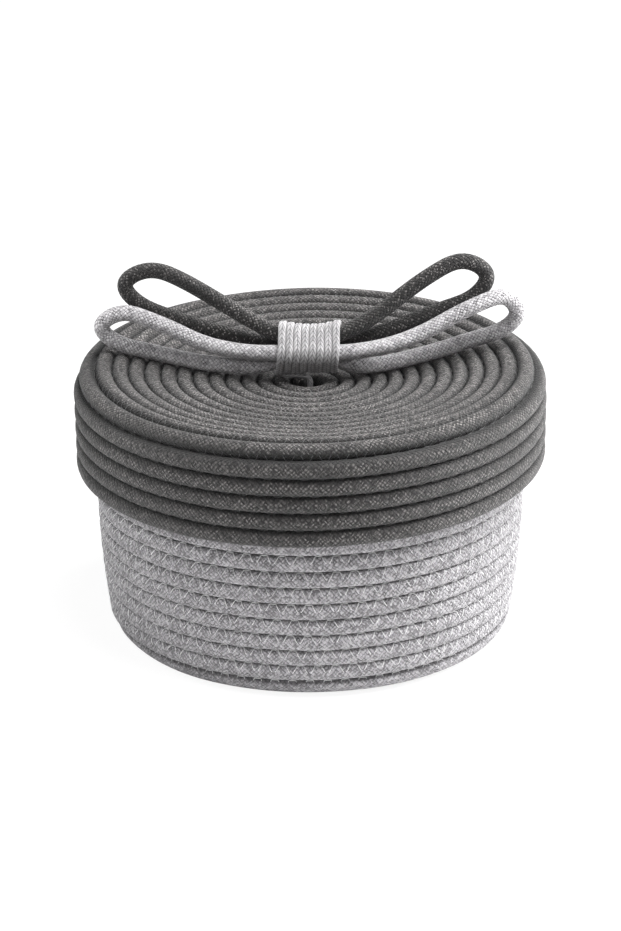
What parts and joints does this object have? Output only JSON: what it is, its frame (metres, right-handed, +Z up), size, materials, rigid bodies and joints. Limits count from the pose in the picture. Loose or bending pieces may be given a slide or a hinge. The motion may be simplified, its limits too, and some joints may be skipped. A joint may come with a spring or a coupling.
{
  "type": "knitting_basket",
  "caption": "Round knitting basket of coiled light grey cotton rope, with a dark grey lift-off lid whose skirt overlaps the wall and a bound rope bow on top as its handle",
  "frame": {"origin": "On the surface that the basket stands on, under the middle of its box, which is the axis of the coiled basket and lid.", "axes": "+Z is up, along the axis of the basket. The lid leans 1.9 degrees from it. +X runs along the bow, to the right as seen from the front, and -Y is the front, which faces the picture's camera."},
  "size_m": [0.23, 0.2306, 0.185],
  "materials": {
    "light_rope": "braided cotton rope, mixed light grey, matt, sewn with a light grey zigzag thread",
    "dark_rope": "braided cotton rope, mixed charcoal grey, matt, sewn with a dark thread",
    "binding_cord": "thin braided cotton cord, light grey, matt"
  },
  "bodies": {
    "basket": {"floor_coil": "light_rope", "wall_coil": "light_rope"},
    "lid": {"lid_top_coil": "dark_rope", "lid_skirt_coil": "dark_rope", "bow_dark_rope": "dark_rope", "bow_light_rope": "light_rope", "bow_binding_cord": "binding_cord"}
  },
  "joints": [
    {"name": "lid_lift", "type": "slide", "parent": "basket", "child": "lid", "axis": [0, 0, 1], "range_m": [0, 0.12]}
  ]
}
